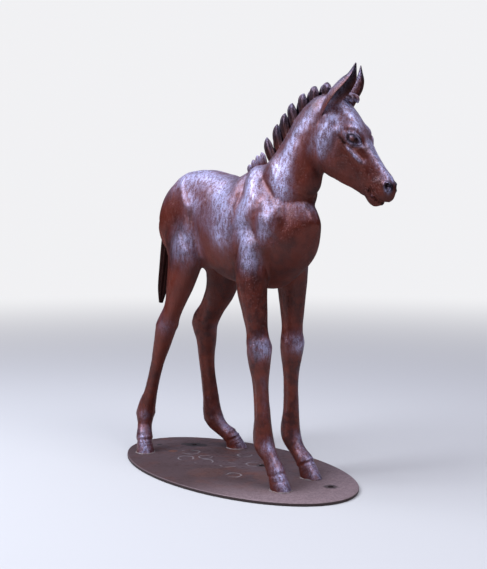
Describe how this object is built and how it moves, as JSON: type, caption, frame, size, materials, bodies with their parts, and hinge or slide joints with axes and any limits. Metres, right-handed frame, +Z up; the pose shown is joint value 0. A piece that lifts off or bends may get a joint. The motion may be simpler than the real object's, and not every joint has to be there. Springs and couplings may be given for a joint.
{
  "type": "cast iron foal sculpture",
  "caption": "Life-size standing foal cast in rust-brown iron, head turned a little to its left, on a thin oval plate.",
  "frame": {"origin": "centre of the oval plate's underside", "axes": "+X the way the foal faces, along the plate's long axis; +Y the foal's left; +Z up"},
  "size_m": [1.0316, 0.518, 1.1913],
  "materials": {
    "foal_iron": "rust-brown oiled cast iron, semi-gloss, with darker mane and tail",
    "plate_iron": "matte grey-brown weathered iron with rust blotches and pale scratches"
  },
  "bodies": {
    "root": {"foal": "foal_iron", "base_plate": "plate_iron"}
  },
  "joints": []
}
